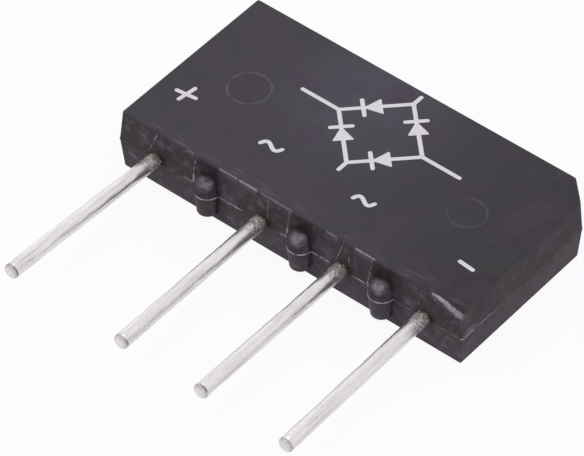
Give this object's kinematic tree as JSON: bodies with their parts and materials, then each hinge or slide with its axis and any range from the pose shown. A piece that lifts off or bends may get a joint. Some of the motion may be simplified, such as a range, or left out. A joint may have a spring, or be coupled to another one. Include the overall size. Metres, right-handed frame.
{
  "type": "bridge rectifier",
  "caption": "Flat single in-line bridge rectifier: black moulded case with one cut corner, stand-off pillars and round tinned leads.",
  "frame": {"origin": "centre of the back face of the case", "axes": "+X along the case towards the minus lead, +Y away from the leads, +Z from the back to the marked face"},
  "size_m": [0.032, 0.0316, 0.0055],
  "materials": {
    "epoxy": "black mineral-filled epoxy moulding compound, satin, scuffed at the edges, white ink marks",
    "tinned_lead": "hot-dipped tin over copper wire, bright and streaky, brown residue at the case",
    "copper": "bare stamped copper sheet; brass stands in for copper",
    "silicon": "glass-passivated silicon, dark grey, opaque",
    "solder": "soft solder, dull grey"
  },
  "bodies": {
    "root": {"body": "epoxy", "lead_plus": "tinned_lead", "lead_ac_left": "tinned_lead", "lead_ac_right": "tinned_lead", "lead_minus": "tinned_lead", "plus_plate": "copper", "ac_left_plate": "copper", "ac_right_plate": "copper", "minus_clip": "copper", "ac_left_clip": "copper", "ac_right_clip": "copper", "die_plus_left": "silicon", "die_plus_right": "silicon", "die_minus_left": "silicon", "die_minus_right": "silicon", "solder_under_plus_left": "solder", "solder_under_plus_right": "solder", "solder_under_minus_left": "solder", "solder_under_minus_right": "solder", "solder_over_plus_left": "solder", "solder_over_plus_right": "solder", "solder_over_minus_left": "solder", "solder_over_minus_right": "solder", "solder_lead_plus": "solder", "solder_lead_ac_left": "solder", "solder_lead_ac_right": "solder", "solder_lead_minus": "solder", "solder_clip_left": "solder", "solder_clip_right": "solder"}
  },
  "joints": []
}
